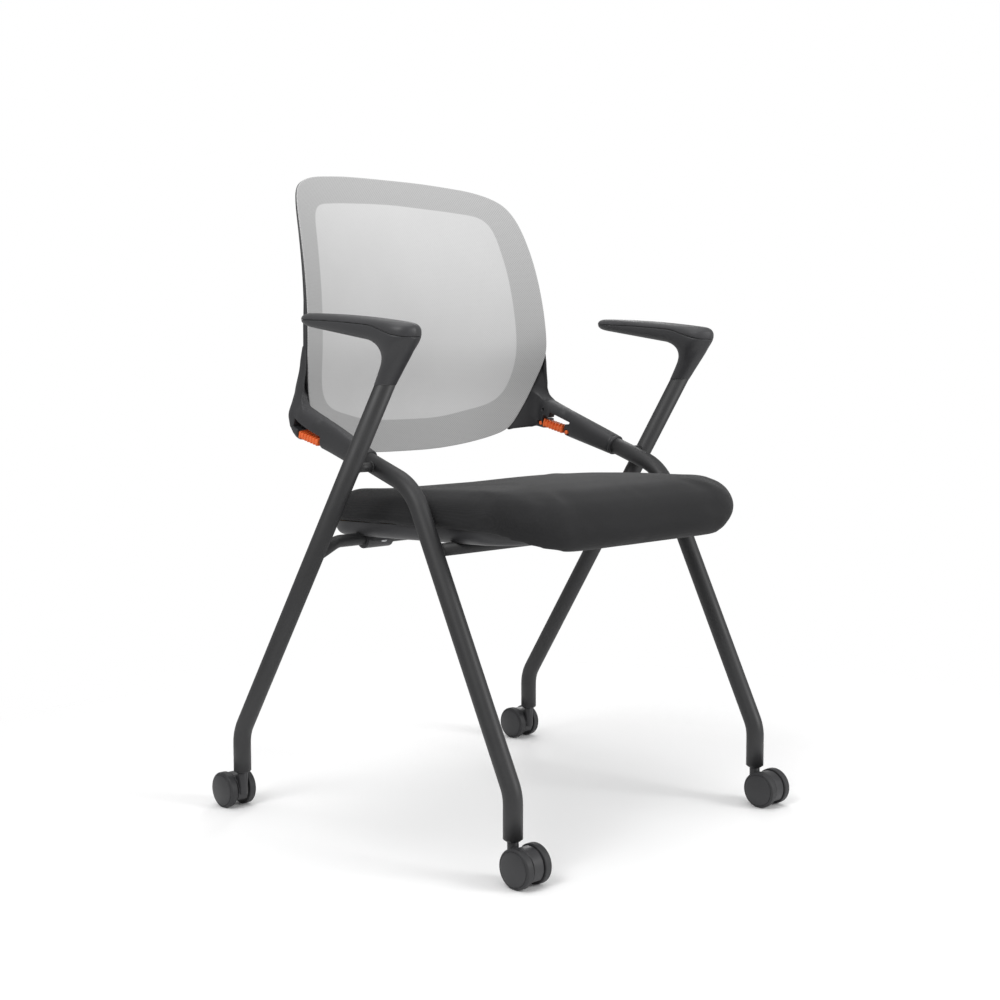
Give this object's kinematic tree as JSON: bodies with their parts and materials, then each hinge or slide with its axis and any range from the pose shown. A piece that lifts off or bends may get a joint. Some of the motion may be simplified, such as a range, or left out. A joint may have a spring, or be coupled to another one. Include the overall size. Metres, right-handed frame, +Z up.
{
  "type": "nesting chair",
  "caption": "Four-legged nesting chair on swivel castors, with arms, a flexing mesh back on a moulded frame and a seat that flips up.",
  "frame": {"origin": "on the floor, midway between the four feet", "axes": "+Z up, -Y the way the sitter faces, +X the sitter's left"},
  "size_m": [0.636, 0.594, 0.9105],
  "materials": {
    "tube": "satin dark grey powder coat",
    "plastic": "fine matt grain, dark grey",
    "mesh": "light grey knitted mesh",
    "cover": "dark grey plain weave cover",
    "spring": "orange elastomer",
    "zinc": "zinc plated",
    "wood": "plain plywood, hidden",
    "tread": "smooth dark plastic"
  },
  "bodies": {
    "frame": {"front_leg_left": "tube", "front_leg_right": "tube", "rear_leg_left": "tube", "rear_leg_right": "tube", "front_cross_tube": "tube", "rear_cross_tube": "tube", "leg_bridges": "tube", "foot_plugs": "plastic", "arm_body_left": "plastic", "arm_body_right": "plastic", "arm_pad_left": "plastic", "arm_pad_right": "plastic", "arm_screws": "zinc", "back_sleeve_left": "plastic", "back_sleeve_right": "plastic", "sleeve_screws": "zinc", "flex_spring_left": "spring", "flex_spring_right": "spring", "castor_stems": "zinc"},
    "back": {"back_frame": "plastic", "mesh_panel": "mesh"},
    "seat": {"seat_pan": "plastic", "seat_board": "wood", "seat_cushion": "cover", "seat_screws": "zinc", "pivot_clamp_left": "plastic", "pivot_clamp_right": "plastic", "clamp_screws": "zinc"},
    "castor_front_left": {"castor_hood_front_left": "plastic", "axle_front_left": "zinc"},
    "wheel_front_left_out": {"wheel_front_left_out": "tread"},
    "wheel_front_left_in": {"wheel_front_left_in": "tread"},
    "castor_front_right": {"castor_hood_front_right": "plastic", "axle_front_right": "zinc"},
    "wheel_front_right_out": {"wheel_front_right_out": "tread"},
    "wheel_front_right_in": {"wheel_front_right_in": "tread"},
    "castor_rear_left": {"castor_hood_rear_left": "plastic", "axle_rear_left": "zinc"},
    "wheel_rear_left_out": {"wheel_rear_left_out": "tread"},
    "wheel_rear_left_in": {"wheel_rear_left_in": "tread"},
    "castor_rear_right": {"castor_hood_rear_right": "plastic", "axle_rear_right": "zinc"},
    "wheel_rear_right_out": {"wheel_rear_right_out": "tread"},
    "wheel_rear_right_in": {"wheel_rear_right_in": "tread"}
  },
  "joints": [
    {"name": "back_recline", "type": "hinge", "parent": "frame", "child": "back", "pos_m": [0, 0.15, 0.56414], "axis": [-1, 0, 0], "range_deg": [0, 8], "stiffness_Nm_per_rad": 260, "springref_deg": -1.72, "deforming": ["flex_spring_left", "flex_spring_right"]},
    {"name": "seat_flip", "type": "hinge", "parent": "frame", "child": "seat", "pos_m": [0, 0.07937, 0.395], "axis": [-1, 0, 0], "range_deg": [0, 80]},
    {"name": "swivel_front_left", "type": "hinge", "parent": "frame", "child": "castor_front_left", "pos_m": [0.248, -0.25, 0.055], "axis": [0, 0, 1], "continuous": true},
    {"name": "roll_front_left_out", "type": "hinge", "parent": "castor_front_left", "child": "wheel_front_left_out", "pos_m": [0.264, -0.2715, 0.0255], "axis": [1, 0, 0], "continuous": true},
    {"name": "roll_front_left_in", "type": "hinge", "parent": "castor_front_left", "child": "wheel_front_left_in", "pos_m": [0.232, -0.2715, 0.0255], "axis": [1, 0, 0], "continuous": true},
    {"name": "swivel_front_right", "type": "hinge", "parent": "frame", "child": "castor_front_right", "pos_m": [-0.248, -0.25, 0.055], "axis": [0, 0, 1], "continuous": true},
    {"name": "roll_front_right_out", "type": "hinge", "parent": "castor_front_right", "child": "wheel_front_right_out", "pos_m": [-0.264, -0.2715, 0.0255], "axis": [1, 0, 0], "continuous": true},
    {"name": "roll_front_right_in", "type": "hinge", "parent": "castor_front_right", "child": "wheel_front_right_in", "pos_m": [-0.232, -0.2715, 0.0255], "axis": [1, 0, 0], "continuous": true},
    {"name": "swivel_rear_left", "type": "hinge", "parent": "frame", "child": "castor_rear_left", "pos_m": [0.293, 0.25, 0.055], "axis": [0, 0, 1], "continuous": true},
    {"name": "roll_rear_left_out", "type": "hinge", "parent": "castor_rear_left", "child": "wheel_rear_left_out", "pos_m": [0.309, 0.2715, 0.0255], "axis": [1, 0, 0], "continuous": true},
    {"name": "roll_rear_left_in", "type": "hinge", "parent": "castor_rear_left", "child": "wheel_rear_left_in", "pos_m": [0.277, 0.2715, 0.0255], "axis": [1, 0, 0], "continuous": true},
    {"name": "swivel_rear_right", "type": "hinge", "parent": "frame", "child": "castor_rear_right", "pos_m": [-0.293, 0.25, 0.055], "axis": [0, 0, 1], "continuous": true},
    {"name": "roll_rear_right_out", "type": "hinge", "parent": "castor_rear_right", "child": "wheel_rear_right_out", "pos_m": [-0.309, 0.2715, 0.0255], "axis": [1, 0, 0], "continuous": true},
    {"name": "roll_rear_right_in", "type": "hinge", "parent": "castor_rear_right", "child": "wheel_rear_right_in", "pos_m": [-0.277, 0.2715, 0.0255], "axis": [1, 0, 0], "continuous": true}
  ]
}
